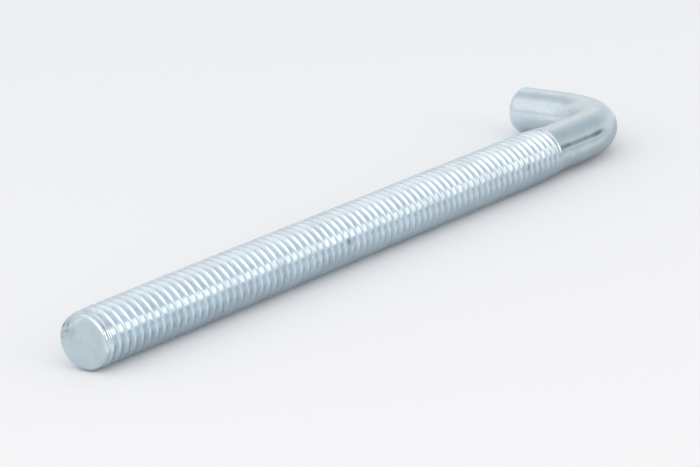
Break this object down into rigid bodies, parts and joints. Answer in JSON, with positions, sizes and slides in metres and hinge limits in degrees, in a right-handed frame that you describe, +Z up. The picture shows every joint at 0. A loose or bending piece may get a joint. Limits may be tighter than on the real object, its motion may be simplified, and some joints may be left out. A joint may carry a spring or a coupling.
{
  "type": "l-hook screw",
  "caption": "Right-angled screw hook: long M6 threaded shank rolled on a 5.35 mm rod, with a short plain leg bent square to it.",
  "frame": {"origin": "on the thread's axis, where the full thread ends and its run-out starts", "axes": "+X along the thread's axis from its tip towards the bend, leg towards +Y (rolled 1.4 degrees down about X, as the hook lies), +Z up from the level surface it lies on, which is at Z = -3 mm"},
  "size_m": [0.0905, 0.0171, 0.006],
  "materials": {
    "zinc_plated_steel": "bright blue-white zinc plating"
  },
  "bodies": {
    "root": {"hook_screw": "zinc_plated_steel"}
  },
  "joints": []
}
